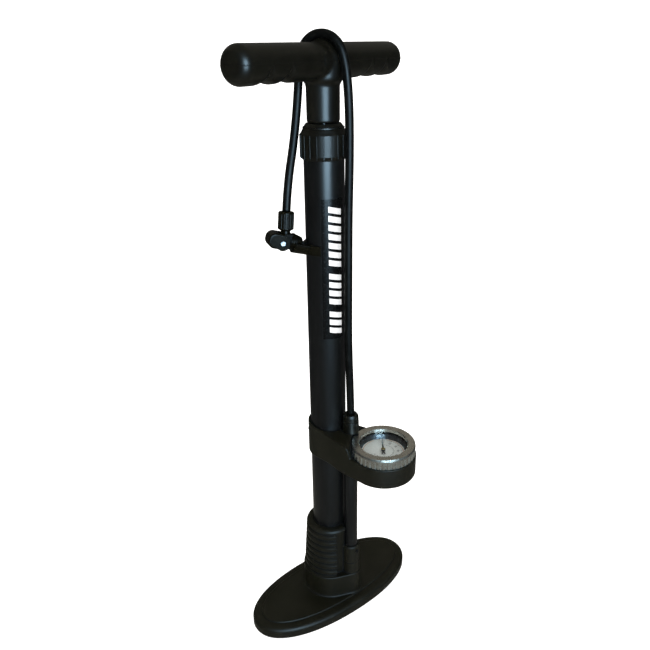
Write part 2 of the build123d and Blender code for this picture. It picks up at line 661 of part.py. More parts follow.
def along_chuck(radius, low, high, v=CHUCK_AXIS_V):
    """A cylinder along the chuck's nozzle axis, in the chuck's own frame."""
    return Pos(low, v, 0) * Rot(0, 90, 0) * extrude(Circle(radius), high - low)


def chuck_body():
    shape = along_chuck(7.4, NOZZLE_W + NOZZLE_LENGTH, -7.9)
    shape += along_chuck(GROMMET_R, NOZZLE_W + GROMMET_TOP, NOZZLE_W + NOZZLE_LENGTH + 0.5)
    core = extrude(Circle(6.6), CHEEK_IN - 0.3, both=True)
    core += Pos(-5.0, CHUCK_AXIS_V - 0.2, 0) * Box(8.0, 14.0, 2 * (CHEEK_IN - 0.3))
    shape += core
    shape -= extrude(Circle(LEVER_PIN_R), 10, both=True)
    shape -= along_chuck(1.5, NOZZLE_W + 5, -3.0)
    body = CHUCK * shape
    body += PORT * Pos(0, 0, 4.0) * extrude(Circle(4.6), HOSE_NUT_LOW - 1.2 - 4.0)
    body -= PORT * Pos(0, 0, 4.0) * extrude(Circle(2.6), HOSE_NUT_LOW)
    body -= PORT * Pos(0, 0, 0.0) * extrude(Circle(1.2), 6.0)
    return body


def chuck_cap():
    """Tapered ring nut over the nozzle, with a groove, a band and the valve's entry."""
    outside = [(GROMMET_BORE_R, 0), (5.1, 0), (5.6, 0.7), (7.2, 6.0), (6.9, 6.3), (6.9, 6.9), (7.7, 7.3),
               (NOZZLE_R, 8.0), (NOZZLE_R, 9.4), (7.6, NOZZLE_LENGTH)]
    inside = [(GROMMET_R, NOZZLE_LENGTH), (GROMMET_R, 1.8), (GROMMET_BORE_R, 1.8)]
    return CHUCK * Pos(NOZZLE_W, CHUCK_AXIS_V, 0) * Rot(0, 90, 0) * turned(outside + inside)


def chuck_grommet():
    low = NOZZLE_W + 1.8
    high = NOZZLE_W + GROMMET_TOP
    return CHUCK * (along_chuck(GROMMET_R, low, high) - along_chuck(GROMMET_BORE_R, low, high))


def chuck_pin():
    pin = extrude(Circle(LEVER_PIN_R), CHEEK_OUT + 0.5, both=True)
    return CHUCK * chamfer(pin.edges().filter_by(GeomType.CIRCLE), 0.5)


def chuck_lever():
    """Thumb lever: two cheeks on the pin, joined by a rounded end."""
    swing_r = 7.1
    height = 14.8
    arm = Pos(LEVER_END_W / 2, 1.2) * Rectangle(LEVER_END_W, height)
    arm = fillet(arm.vertices().group_by(Axis.X)[-1], 6.6)
    outline = arm + Circle(swing_r)
    lever = extrude(outline, CHEEK_OUT, both=True)
    lever = fillet(lever.edges().filter_by(GeomType.CIRCLE).filter_by_position(Axis.X, 8, 20), 1.8)
    throat = extrude(Circle(9.8) + Pos(-4, 0) * Rectangle(20, 40), CHEEK_IN, both=True)
    lever -= throat
    lever -= extrude(Circle(LEVER_PIN_R + 0.05), 10, both=True)
    return CHUCK * lever


def chuck_stem():
    """Brass tail from the chuck's body into the hose nut."""
    stem = PORT * Pos(0, 0, 6.0) * extrude(Circle(2.6), HOSE_NUT_TOP - 3.0 - 6.0)
    return stem - PORT * Pos(0, 0, 6.0) * extrude(Circle(1.2), HOSE_NUT_TOP)


def hose_end_nut():
    low = HOSE_NUT_LOW - 1.2
    length = HOSE_NUT_TOP - low
    nut = turned([(2.6, 0), (4.6, 0), (7.6, 1.8), (7.6, length - 1.0), (6.6, length), (3.9, length),
                  (3.9, length - 3.0), (2.6, length - 3.0)])
    for cut in around(18, rod(0.8, 2.6, length - 1.8, Vector(8.0, 0, 0))):
        nut -= cut
    return PORT * Pos(0, 0, low) * nut


def chuck_clip():
    """Spring clip round the barrel, with an open trough that the nozzle rests in."""
    low = 427.5
    high = 436.5
    band = turned([(BARREL_R, low), (BARREL_R + 2.4, low), (BARREL_R + 2.4, high), (BARREL_R, high)], 202)
    band = Rot(0, 0, 20) * band
    trough = CHUCK * (along_chuck(NOZZLE_R + 2.6, NOZZLE_W - 8, NOZZLE_W + 8.0) & Pos(
        NOZZLE_W, CHUCK_AXIS_V - 10, 0) * Box(40, 20, 40))
    inner = BARREL_R + 1
    gusset_face = Polyline((inner, low), (inner + 2, low), (inner + 11, low + 6.5), (inner, low + 9), close=True)
    gusset = Rot(0, 0, CHUCK_AZIMUTH) * extrude(Plane.XZ * make_face(gusset_face), 6.0, both=True)
    clip = band + trough + gusset
    clip -= CHUCK * along_chuck(NOZZLE_R + 0.35, NOZZLE_W - 0.5, NOZZLE_W + 12)
    clip -= CHUCK * along_chuck(GROMMET_BORE_R, NOZZLE_W - 6.5, NOZZLE_W)
    clip -= rod(BARREL_R, low - 20, high + 20)
    return clip


# ---- write every piece -------------------------------------------------------------
PIECES = [
    base_foot, foot_screws, socket_screw, barrel_tube, barrel_end_plug, end_plug_seal, check_valve_seat,
    check_valve_retainer, check_valve_poppet, check_valve_spring, rod_guide_bush, rod_wiper, top_cap, barrel_label,
    air_pipe, pipe_seals, gauge_bracket, bracket_screw, hose_barb, hose_gland_nut, gauge_socket, bourdon_tube,
    gauge_movement, dial_face, dial_ring, lens_gasket, gauge_lens, gauge_bezel, gauge_needle, handle, handle_insert,
    piston_rod, piston_head, piston_cup, piston_washer, piston_nut, piston_bumper, air_hose, chuck_body, chuck_cap,
    chuck_grommet, chuck_pin, chuck_lever, chuck_stem, hose_end_nut, chuck_clip,
]
for piece in PIECES:
    save(piece(), piece.__name__)
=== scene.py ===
import json
import math

import bmesh
import bpy
from mathutils import Matrix, Vector


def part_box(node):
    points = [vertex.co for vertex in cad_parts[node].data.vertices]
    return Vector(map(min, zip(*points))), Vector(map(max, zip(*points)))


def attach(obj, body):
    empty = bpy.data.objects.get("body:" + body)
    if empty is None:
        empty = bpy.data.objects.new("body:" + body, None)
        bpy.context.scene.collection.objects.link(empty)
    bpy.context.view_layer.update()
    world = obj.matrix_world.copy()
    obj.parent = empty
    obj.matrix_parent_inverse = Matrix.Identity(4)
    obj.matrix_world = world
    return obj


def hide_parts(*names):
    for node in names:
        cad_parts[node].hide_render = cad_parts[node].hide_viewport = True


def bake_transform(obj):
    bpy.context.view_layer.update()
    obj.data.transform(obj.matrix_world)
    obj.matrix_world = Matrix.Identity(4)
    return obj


# A track floor pump, in metres: the barrel stands on the origin and +Z is up.

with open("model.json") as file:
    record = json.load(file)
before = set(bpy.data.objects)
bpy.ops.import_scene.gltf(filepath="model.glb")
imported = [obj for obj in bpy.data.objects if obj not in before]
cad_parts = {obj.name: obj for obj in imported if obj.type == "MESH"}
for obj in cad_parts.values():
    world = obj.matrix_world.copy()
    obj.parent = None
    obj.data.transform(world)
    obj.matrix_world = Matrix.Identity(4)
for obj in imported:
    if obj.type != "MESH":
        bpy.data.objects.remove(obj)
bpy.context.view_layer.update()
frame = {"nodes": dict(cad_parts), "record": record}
NODES = frame["nodes"]
SCENE = bpy.context.scene


def polar(reach, degrees, z=0.0):
    angle = math.radians(degrees)
    return Vector((reach * math.cos(angle), reach * math.sin(angle), z))


def link(piece):
    SCENE.collection.objects.link(piece)
    return piece


# ---- camera --------------------------------------------------------------------------
CAMERA_AZIMUTH = -126.37
CAMERA_REACH = 0.6108
CAMERA_HEIGHT = 0.6107
CAMERA_HEADING = 53.79
CAMERA_PITCH = 23.24
CAMERA_ROLL = -1.01
CAMERA_LENS = 36.12


def make_camera():
    data = bpy.data.cameras.new("camera")
    data.lens = CAMERA_LENS
    data.sensor_width = 36.0
    data.clip_start = 0.01
    data.clip_end = 50.0
    camera = link(bpy.data.objects.new("camera", data))
    turn = Matrix.Rotation(math.radians(CAMERA_HEADING - 90.0), 4, "Z")
    tip = Matrix.Rotation(math.radians(90.0 - CAMERA_PITCH), 4, "X")
    roll = Matrix.Rotation(math.radians(CAMERA_ROLL), 4, "Z")
    place = Matrix.Translation(polar(CAMERA_REACH, CAMERA_AZIMUTH, CAMERA_HEIGHT))
    camera.matrix_world = place @ turn @ tip @ roll
    SCENE.camera = camera


make_camera()

# ---- hose ----------------------------------------------------------------------------
# Its route as (along the handle, behind it, height), then the two points at the chuck.
HANDLE_TURN = math.radians(17.5)
HOSE_DIAMETER = 0.008
HOSE_SIDES = 24
HOSE_ROUTE = [
    (0.0022, -0.0279, 0.2526),
    (0.0010, -0.0280, 0.2830),
    (-0.0017, -0.0276, 0.3350),
    (-0.0017, -0.0279, 0.4000),
    (-0.0005, -0.0273, 0.4650),
    (0.0006, -0.0282, 0.5200),
    (0.0014, -0.0270, 0.5705),
    (0.0006, -0.0224, 0.6064),
    (-0.0006, -0.0093, 0.6198),
    (-0.0024, 0.0093, 0.6198),
    (-0.0034, 0.0224, 0.6064),
    (-0.0044, 0.0242, 0.5725),
    (-0.0129, 0.0240, 0.5310),
]
HOSE_LEAD_POINT = (-0.03156, 0.01442, 0.49330)
HOSE_END_POINT = (-0.03463, 0.01345, 0.46851)


def from_handle(along, behind, z):
    c = math.cos(HANDLE_TURN)
    s = math.sin(HANDLE_TURN)
    return Vector((along * c - behind * s, along * s + behind * c, z))


def spline_points(route):
    """Points along the smooth curve that a route's points control."""
    curve = bpy.data.curves.new("hose_route", "CURVE")
    curve.dimensions = "3D"
    curve.resolution_u = 24
    spline = curve.splines.new("NURBS")
    spline.points.add(len(route) - 1)
    for point, place in zip(spline.points, route):
        point.co = (*place, 1.0)
    spline.order_u = 3
    spline.use_endpoint_u = True
    holder = link(bpy.data.objects.new("hose_route", curve))
    bpy.context.view_layer.update()
    mesh = bpy.data.meshes.new_from_object(holder)
    points = [v.co.copy() for v in mesh.vertices]
    bpy.data.objects.remove(holder)
    bpy.data.meshes.remove(mesh)
    return points


def tube_along(path, radius, sides, name):
    """A closed tube round a path, mapped in metres round it and along it."""
    mesh = bmesh.new()
    around_map = mesh.loops.layers.uv.new("UVMap")
    tangent = (path[1] - path[0]).normalized()
    side = tangent.orthogonal().normalized()
    rings = []
    run = 0.0
    runs = []
    for i, point in enumerate(path):
        ahead = path[min(i + 1, len(path) - 1)] - path[max(i - 1, 0)]
        turn = tangent.rotation_difference(ahead.normalized())
        tangent = ahead.normalized()
        side = (turn @ side).normalized()
        other = tangent.cross(side)
        loop = []
        for k in range(sides):
            angle = 2 * math.pi * k / sides
            outward = math.cos(angle) * side + math.sin(angle) * other
            loop.append(mesh.verts.new(point + radius * outward))
        rings.append(loop)
        if i:
            run += (point - path[i - 1]).length
        runs.append(run)
    for i, (near, far) in enumerate(zip(rings, rings[1:])):
        for k in range(sides):
            after = (k + 1) % sides
            face = mesh.faces.new((near[k], near[after], far[after], far[k]))
            face.smooth = True
            corners = ((k, runs[i]), (k + 1, runs[i]), (k + 1, runs[i + 1]), (k, runs[i + 1]))
            for corner, (step, height) in zip(face.loops, corners):
                corner[around_map].uv = (2 * math.pi * radius * step / sides, height)
    mesh.faces.new(list(reversed(rings[0])))
    mesh.faces.new(rings[-1])
    data = bpy.data.meshes.new(name)
    mesh.to_mesh(data)
    mesh.free()
    return link(bpy.data.objects.new(name, data))


hose_route = [from_handle(*point) for point in HOSE_ROUTE]
hose_route += [Vector(HOSE_LEAD_POINT), Vector(HOSE_END_POINT)]
hose_path = spline_points(hose_route)
hose = tube_along(hose_path, HOSE_DIAMETER / 2, HOSE_SIDES, "hose")
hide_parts("air_hose")
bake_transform(hose)

# ---- moulded pieces ------------------------------------------------------------------
WELD_REACH = 0.00002
VOXEL = 0.0008
HANDLE_PASSES = 16          # of smoothing, so the handle has the larger mould radii
BRACKET_PASSES = 3
# The boss between the grips
BOSS_LOW = 0.5780
BOSS_HIGH = 0.6125
BOSS_HALF_WIDTH = 0.0180
BOSS_SWELL = 0.0020
# The band where the boss melts into the grips
MELT_LOW = 0.5770
MELT_HIGH = 0.6130
MELT_INNER = 0.010
MELT_OUTER = 0.026
MELT_PASSES = 5
# The boss's dome
CROWN_Z = 0.6085
CROWN_RISE = 0.0008
CROWN_REACH = 0.0145
# The ridge round the grips
PARTING_Z = 0.5978
PARTING_HEIGHT = 0.0004
PARTING_HALF_WIDTH = 0.0007


def softened(node, body, passes):
    """A moulding in place of a CAD node, its edges and inner corners rounded."""
    draft = link(bpy.data.objects.new(node + "_draft", NODES[node].data.copy()))
    weld = draft.modifiers.new("weld", "WELD")
    weld.merge_threshold = WELD_REACH
    remesh = draft.modifiers.new("remesh", "REMESH")
    remesh.mode = "VOXEL"
    remesh.voxel_size = VOXEL
    smooth = draft.modifiers.new("smooth", "SMOOTH")
    smooth.factor = 0.5
    smooth.iterations = passes
    solid = draft.evaluated_get(bpy.context.evaluated_depsgraph_get())
    data = bpy.data.meshes.new_from_object(solid)
    data.name = node + "_moulded"
    bpy.data.objects.remove(draft)
    for face in data.polygons:
        face.use_smooth = True
    piece = link(bpy.data.objects.new(node + "_moulded", data))
    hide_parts(node)
    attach(piece, body)
    return piece


def raise_parting_line(piece):
    """A fine ridge at one level, where the two halves of the mould met."""
    mesh = bmesh.new()
    mesh.from_mesh(piece.data)
    for level in (PARTING_Z - PARTING_HALF_WIDTH, PARTING_Z, PARTING_Z + PARTING_HALF_WIDTH):
        everything = mesh.verts[:] + mesh.edges[:] + mesh.faces[:]
        cut = {"plane_co": (0, 0, level), "plane_no": (0, 0, 1)}
        bmesh.ops.bisect_plane(mesh, geom=everything, dist=1e-7, **cut)
    mesh.normal_update()
    ridge = [(v, v.normal.copy()) for v in mesh.verts if abs(v.co.z - PARTING_Z) < 1e-6]
    for vert, normal in ridge:
        vert.co += PARTING_HEIGHT * Vector((normal.x, normal.y, 0.0))
    mesh.to_mesh(piece.data)
    mesh.free()


def blend_boss(piece):
    """Melts the boss into the grips, as the mould's large inner radius does."""
    mesh = bmesh.new()
    mesh.from_mesh(piece.data)
    level = [v for v in mesh.verts if MELT_LOW < v.co.z < MELT_HIGH]
    near = [v for v in level if MELT_INNER < v.co.xy.length < MELT_OUTER]
    axes = {"use_axis_x": True, "use_axis_y": True, "use_axis_z": True}
    for _ in range(MELT_PASSES):
        bmesh.ops.smooth_vert(mesh, verts=near, factor=0.5, **axes)
    mesh.to_mesh(piece.data)
    mesh.free()


def swell_boss(piece):
    """Fills the boss out to the front and the back, so that it stands proud of the grips."""
    ahead = from_handle(0.0, 1.0, 0.0)
    along = from_handle(1.0, 0.0, 0.0)
    for vert in piece.data.vertices:
        share = vert.co.dot(along) / BOSS_HALF_WIDTH
        rise = (vert.co.z - BOSS_LOW) / (BOSS_HIGH - BOSS_LOW)
        if abs(share) < 1.0 and 0.0 < rise < 1.0:
            depth = vert.co.dot(ahead)
            push = BOSS_SWELL * math.sqrt(1.0 - share ** 2) * math.sin(math.pi * rise) ** 0.5
            vert.co += math.copysign(push, depth) * min(1.0, abs(depth) / 0.01) * ahead


def raise_crown(piece):
    """Fills out the boss's dome, so that the hose rests on it."""
    for vert in piece.data.vertices:
        share = vert.co.xy.length / CROWN_REACH
        if vert.co.z > CROWN_Z and share < 1.0:
            vert.co.z += CROWN_RISE * (1.0 - share ** 4)


moulded_handle = softened("handle", "pump_piston", HANDLE_PASSES)
swell_boss(moulded_handle)
blend_boss(moulded_handle)
raise_crown(moulded_handle)
raise_parting_line(moulded_handle)
moulded_bracket = softened("gauge_bracket", "pump_barrel", BRACKET_PASSES)

# ---- check valve's spring ------------------------------------------------------------


def squeezed_coil():
    """The coil, standing on the barrel's retainer, copied from the CAD node as it is."""
    coil = link(bpy.data.objects.new("valve_coil", NODES["check_valve_spring"].data.copy()))
    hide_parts("check_valve_spring")
    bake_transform(coil)
    return coil


coil = squeezed_coil()

# ---- print on the label and the dial -------------------------------------------------


def prism(mesh, sections):
    """A closed bar through sections of equal corner count, capped at both ends."""
    rings = [[mesh.verts.new(corner) for corner in section] for section in sections]
    count = len(rings[0])
    for low, high in zip(rings, rings[1:]):
        for k in range(count):
            after = (k + 1) % count
            mesh.faces.new((low[k], low[after], high[after], high[k]))
    mesh.faces.new(list(reversed(rings[0])))
    mesh.faces.new(rings[-1])


def finish_mesh(mesh, name, body):
    bmesh.ops.recalc_face_normals(mesh, faces=mesh.faces)
    data = bpy.data.meshes.new(name)
    mesh.to_mesh(data)
    mesh.free()
    piece = link(bpy.data.objects.new(name, data))
    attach(piece, body)
    return piece


LABEL_R = 0.01925
PRINT_LIFT = 0.00001        # the gap that keeps a print clear of what it is on
PRINT_THICK = 0.00006
STRIPE_FROM = -117.0
STRIPE_TO = -76.0
STRIPE_SLANT = 0.0035
STRIPE_PITCH = 0.0085
STRIPE_WIDTH = 0.0056
STRIPE_STEPS = 12
# Each run of stripes as (height of the top stripe, how many)
STRIPE_RUNS = [(0.4745, 7), (0.4100, 4), (0.3710, 3)]


def label_stripes():
    """Runs of slanted white stripes up the label."""
    mesh = bmesh.new()
    inner = LABEL_R + PRINT_LIFT
    outer = LABEL_R + PRINT_THICK
    for top, count in STRIPE_RUNS:
        for i in range(count):
            sections = []
            for k in range(STRIPE_STEPS + 1):
                share = k / STRIPE_STEPS
                azimuth = STRIPE_FROM + share * (STRIPE_TO - STRIPE_FROM)
                high = top - i * STRIPE_PITCH - share * STRIPE_SLANT
                low = high - STRIPE_WIDTH
                corners = ((inner, low), (outer, low), (outer, high), (inner, high))
                sections.append([polar(reach, azimuth, z) for reach, z in corners])
            prism(mesh, sections)
    return finish_mesh(mesh, "label_stripes", "pump_barrel")


DIAL_LOW, DIAL_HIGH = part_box("dial_face")
DIAL_CENTRE = (DIAL_LOW + DIAL_HIGH) / 2
INK_LOW = DIAL_HIGH.z + PRINT_LIFT
INK_HIGH = DIAL_HIGH.z + PRINT_THICK
ZERO_AZIMUTH = 52.0
SCALE_SWEEP = 240.0
READING_UP = -68.0          # the azimuth that the numbers' tops point to
DIAL_TOP_READING = 160
DIAL_STEP = 20
NUMBER_REACH = 0.0155
NUMBER_SIZE = 0.0034
NEEDLE_CAP_PROFILE = [
    (0.0021, 0.0),
    (0.0023, 0.0002),
    (0.0019, 0.0005),
    (0.0012, 0.0008),
    (0.0005, 0.0009),
]
# The outer scale: its spaces, and its ticks' radii and half widths in degrees
OUTER_SPACES = 32
OUTER_TICK_END = 0.0203
OUTER_TICK = 0.0190
OUTER_TICK_HALF = 0.4
OUTER_MAJOR_TICK = 0.0180
OUTER_MAJOR_HALF = 0.75
# The inner scale, inside its ring
INNER_SPACES = 22
INNER_TICK = 0.0104
INNER_MAJOR_TICK = 0.0098
INNER_TICK_HALF = 0.8
INNER_RING = 0.0112
INNER_RING_END = 0.0114
# The coloured border
BORDER = 0.0207
BORDER_END = 0.0213
BORDER_FROM = ZERO_AZIMUTH - SCALE_SWEEP - 95.0
BORDER_TO = ZERO_AZIMUTH - 12.0


def on_dial(reach, azimuth, z):
    return polar(reach, azimuth, z) + Vector((DIAL_CENTRE.x, DIAL_CENTRE.y, 0.0))


def arc_band(mesh, inner, outer, start, end, steps):
    sections = []
    corners = ((inner, INK_LOW), (outer, INK_LOW), (outer, INK_HIGH), (inner, INK_HIGH))
    for k in range(steps + 1):
        azimuth = start + (end - start) * k / steps
        sections.append([on_dial(reach, azimuth, z) for reach, z in corners])
    prism(mesh, sections)


def dial_scale():
    """Two rings of ticks, the outer one numbered."""
    mesh = bmesh.new()
    for i in range(OUTER_SPACES + 1):
        azimuth = ZERO_AZIMUTH - SCALE_SWEEP * i / OUTER_SPACES
        major = i % 4 == 0
        inner = OUTER_MAJOR_TICK if major else OUTER_TICK
        half = OUTER_MAJOR_HALF if major else OUTER_TICK_HALF
        arc_band(mesh, inner, OUTER_TICK_END, azimuth - half, azimuth + half, 1)
    half = INNER_TICK_HALF
    for i in range(INNER_SPACES + 1):
        azimuth = ZERO_AZIMUTH - SCALE_SWEEP * i / INNER_SPACES
        inner = INNER_MAJOR_TICK if i % 2 == 0 else INNER_TICK
        arc_band(mesh, inner, INNER_RING, azimuth - half, azimuth + half, 1)
    arc_band(mesh, INNER_RING, INNER_RING_END, ZERO_AZIMUTH - SCALE_SWEEP, ZERO_AZIMUTH, 48)
    return finish_mesh(mesh, "dial_scale", "pump_barrel")


def dial_number(value, reach, azimuth, size):
    text = bpy.data.curves.new("dial_number", "FONT")
    text.body = str(value)
    text.size = size
    text.align_x = "CENTER"
    text.align_y = "CENTER"
    text.extrude = PRINT_THICK / 3
    holder = link(bpy.data.objects.new("dial_number", text))
    holder.location = on_dial(reach, azimuth, INK_LOW + PRINT_THICK / 3)
    holder.rotation_euler = (0, 0, math.radians(READING_UP - 90.0))
    bpy.context.view_layer.update()
    solid = holder.evaluated_get(bpy.context.evaluated_depsgraph_get())
    data = bpy.data.meshes.new_from_object(solid)
    data.transform(holder.matrix_world)
    bpy.data.objects.remove(holder)
    return data


def dial_numbers():
    mesh = bmesh.new()
    for value in range(0, DIAL_TOP_READING + 1, DIAL_STEP):
        azimuth = ZERO_AZIMUTH - SCALE_SWEEP * value / DIAL_TOP_READING
        data = dial_number(value, NUMBER_REACH, azimuth, NUMBER_SIZE)
        mesh.from_mesh(data)
        bpy.data.meshes.remove(data)
    bmesh.ops.remove_doubles(mesh, verts=mesh.verts, dist=1e-6)
    return finish_mesh(mesh, "dial_numbers", "pump_barrel")


def dial_border():
    """A thin coloured line round the scale, broken below the pointer's rest."""
    mesh = bmesh.new()
    arc_band(mesh, BORDER, BORDER_END, BORDER_FROM, BORDER_TO, 96)
    return finish_mesh(mesh, "dial_border", "pump_barrel")


def needle_cap():
    """A low turned brass button over the pointer's hub."""
    mesh = bmesh.new()
    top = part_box("gauge_needle")[1].z
    steps = 32
    rings = []
    for reach, z in NEEDLE_CAP_PROFILE:
        ring = [on_dial(reach, 360 * k / steps, top + z) for k in range(steps)]
        rings.append([mesh.verts.new(corner) for corner in ring])
    for low, high in zip(rings, rings[1:]):
        for k in range(steps):
            after = (k + 1) % steps
            mesh.faces.new((low[k], low[after], high[after], high[k])).smooth = True
    mesh.faces.new(list(reversed(rings[0])))
    mesh.faces.new(rings[-1])
    return finish_mesh(mesh, "needle_cap", "gauge_pointer")


stripes = label_stripes()
scale = dial_scale()
numbers = dial_numbers()
border = dial_border()
cap = needle_cap()

# ---- materials -----------------------------------------------------------------------
GRAIN_SCALE = 2600.0
GRAIN_DEPTH = 0.00006
RECESS_REACH = 0.004
# The near-black painted into recesses as painted shade
PAINTED_SHADE = (0.0006, 0.0006, 0.0004)
IOR = 1.5


def add(tree, kind, inputs=None, **settings):
    """A shader node, with sockets linked or set to a constant."""
    made = tree.nodes.new("ShaderNode" + kind)
    for key, value in settings.items():
        setattr(made, key, value)
    for key, value in (inputs or {}).items():
        if isinstance(value, bpy.types.NodeSocket):
            tree.links.new(value, made.inputs[key])
        else:
            made.inputs[key].default_value = value
    return made


def principled(name, inputs):
    material = bpy.data.materials.new(name)
    material.use_nodes = True
    tree = material.node_tree
    tree.nodes.clear()
    shader = add(tree, "BsdfPrincipled", inputs)
    add(tree, "OutputMaterial", {"Surface": shader.outputs["BSDF"]})
    return material, tree, shader


def place(tree, stretch=(1, 1, 1), source="Object"):
    where = add(tree, "TexCoord").outputs[source]
    return add(tree, "Mapping", {"Vector": where, "Scale": stretch}).outputs["Vector"]


def noise(tree, where, scale, detail=2.0, roughness=0.5):
    inputs = {"Vector": where, "Scale": scale, "Detail": detail, "Roughness": roughness}
    return add(tree, "TexNoise", inputs).outputs["Fac"]


def remap(tree, value, low, high, to_low=0.0, to_high=1.0):
    inputs = {"Value": value, "From Min": low, "From Max": high}
    inputs |= {"To Min": to_low, "To Max": to_high}
    return add(tree, "MapRange", inputs).outputs["Result"]


def maths(tree, operation, first, second):
    return add(tree, "Math", {0: first, 1: second}, operation=operation).outputs[0]


def brighter(colour, times):
    return tuple(min(1.0, channel * times) for channel in colour)


def mixed(tree, factor, first, second):
    made = add(tree, "Mix", data_type="RGBA")
    tree.links.new(factor, made.inputs[0])
    for socket, colour in ((made.inputs[6], first), (made.inputs[7], second)):
        if isinstance(colour, bpy.types.NodeSocket):
            tree.links.new(colour, socket)
        else:
            socket.default_value = (*colour, 1.0)
    return made.outputs[2]


def bumped(tree, height, strength, distance, below=None):
    inputs = {"Height": height, "Strength": strength, "Distance": distance}
    if below is not None:
        inputs["Normal"] = below
    return add(tree, "Bump", inputs).outputs["Normal"]


def rounded_edges(tree, radius):
    """Normals that turn softly over an edge, as a moulded or coated edge does."""
    return add(tree, "Bevel", {"Radius": radius}, samples=6).outputs["Normal"]


def edge_mask(tree, radius, sharp=0.04):
    """1 along edges within about that radius, 0 on open faces."""
    rounded = add(tree, "Bevel", {"Radius": radius}, samples=6).outputs["Normal"]
    facing = add(tree, "NewGeometry").outputs["Normal"]
    dot = add(tree, "VectorMath", operation="DOT_PRODUCT")
    tree.links.new(rounded, dot.inputs[0])
    tree.links.new(facing, dot.inputs[1])
    return remap(tree, dot.outputs["Value"], 1.0 - sharp, 1.0 - 4 * sharp)


def finish(tree, shader, colour, roughness, normal):
    tree.links.new(colour, shader.inputs["Base Color"])
    tree.links.new(roughness, shader.inputs["Roughness"])
    tree.links.new(normal, shader.inputs["Normal"])


def moulded(name, dark, light, rough, specular=0.3, wear=0.22, recess_shade=0.0):
    """Moulded plastic: eroded grain, faint flow marks, paler edges and, when asked, rougher
    recesses darkened with painted shade.
    """
    material, tree, shader = principled(name, {"Specular IOR Level": specular, "IOR": IOR})
    where = place(tree)
    fine = noise(tree, where, GRAIN_SCALE, detail=2.0, roughness=0.6)
    coarse = noise(tree, where, GRAIN_SCALE / 5, detail=2.0)
    flow = noise(tree, place(tree, (1, 1, 0.35)), 38.0, detail=4.0, roughness=0.55)
    edge = edge_mask(tree, 0.0004)
    worn = maths(tree, "MULTIPLY", edge, remap(tree, flow, 0.4, 0.62))
    worn = remap(tree, worn, 0.0, 1.0, 0.0, wear)
    base = mixed(tree, remap(tree, flow, 0.3, 0.7), dark, light)
    colour = mixed(tree, worn, base, brighter(light, 3.2))
    spread = remap(tree, flow, 0.3, 0.7, rough - 0.03, rough + 0.05)
    if recess_shade:
        # Painted shade: the colour is mixed toward a near-black where ambient occlusion finds a
        # recess, and the recess is made rougher.
        shade = add(tree, "AmbientOcclusion", {"Distance": RECESS_REACH}, samples=8)
        openness = shade.outputs["AO"]
        painted_shade = remap(tree, openness, 0.75, 0.35, 0.0, recess_shade)
        colour = mixed(tree, painted_shade, colour, PAINTED_SHADE)
        dull = remap(tree, openness, 0.85, 0.45, 0.0, 0.4)
        spread = maths(tree, "ADD", spread, dull)
    roughness = maths(tree, "ADD", spread, remap(tree, fine, 0.3, 0.7, -0.04, 0.04))
    normal = rounded_edges(tree, 0.0005)
    normal = bumped(tree, coarse, strength=0.08, distance=GRAIN_DEPTH * 2, below=normal)
    normal = bumped(tree, fine, strength=0.35, distance=GRAIN_DEPTH, below=normal)
    finish(tree, shader, colour, roughness, normal)
    return material


def coated(name, dark, light, rough):
    """Powder coat on steel: orange peel with fine dust nibs and faint handling marks."""
    material, tree, shader = principled(name, {"Specular IOR Level": 0.3, "IOR": IOR})
    where = place(tree)
    peel = noise(tree, where, 620.0, detail=2.0)
    nib = noise(tree, where, 2400.0, detail=1.0)
    smear = noise(tree, place(tree, (1, 1, 0.16)), 60.0, detail=5.0, roughness=0.6)
    colour = mixed(tree, remap(tree, smear, 0.35, 0.7), dark, light)
    roughness = remap(tree, smear, 0.3, 0.7, rough - 0.02, rough + 0.04)
    normal = rounded_edges(tree, 0.0004)
    normal = bumped(tree, peel, strength=0.08, distance=0.00008, below=normal)
    normal = bumped(tree, nib, strength=0.12, distance=0.00004, below=normal)
    finish(tree, shader, colour, roughness, normal)
    return material


def rubber(name, dark, light, rough, source="Object"):
    """Extruded or moulded rubber with bloom and fine draw lines along it."""
    material, tree, shader = principled(name, {"Specular IOR Level": 0.10, "IOR": IOR})
    lines = noise(tree, place(tree, (1.0, 0.05, 1.0), source), 2600.0, detail=2.0)
    bloom = noise(tree, place(tree, (1, 1, 1), source), 130.0, detail=5.0, roughness=0.62)
    grain = noise(tree, place(tree, (1, 1, 1), source), 1900.0, detail=2.0)
    colour = mixed(tree, remap(tree, bloom, 0.42, 0.72), dark, light)
    roughness = remap(tree, bloom, 0.3, 0.7, rough - 0.05, rough + 0.1)
    normal = bumped(tree, grain, strength=0.16, distance=0.00005)
    normal = bumped(tree, lines, strength=0.14, distance=0.00004, below=normal)
    finish(tree, shader, colour, roughness, normal)
    return material


def metal(name, dark, light, rough, stretch, scale=900.0, brushed=0.2):
    """Worked metal: tool marks drawn out in one direction, with duller patches."""
    material, tree, shader = principled(name, {"Metallic": 1.0, "Specular IOR Level": 0.5})
    marks = noise(tree, place(tree, stretch), scale, detail=3.0, roughness=0.6)
    patch = noise(tree, place(tree), 150.0, detail=4.0, roughness=0.6)
    blend = maths(tree, "MULTIPLY", marks, patch)
    colour = mixed(tree, remap(tree, blend, 0.12, 0.42), dark, light)
    roughness = remap(tree, patch, 0.3, 0.7, rough - 0.06, rough + 0.1)
    normal = bumped(tree, marks, strength=brushed, distance=0.00005)
    finish(tree, shader, colour, roughness, normal)
    return material


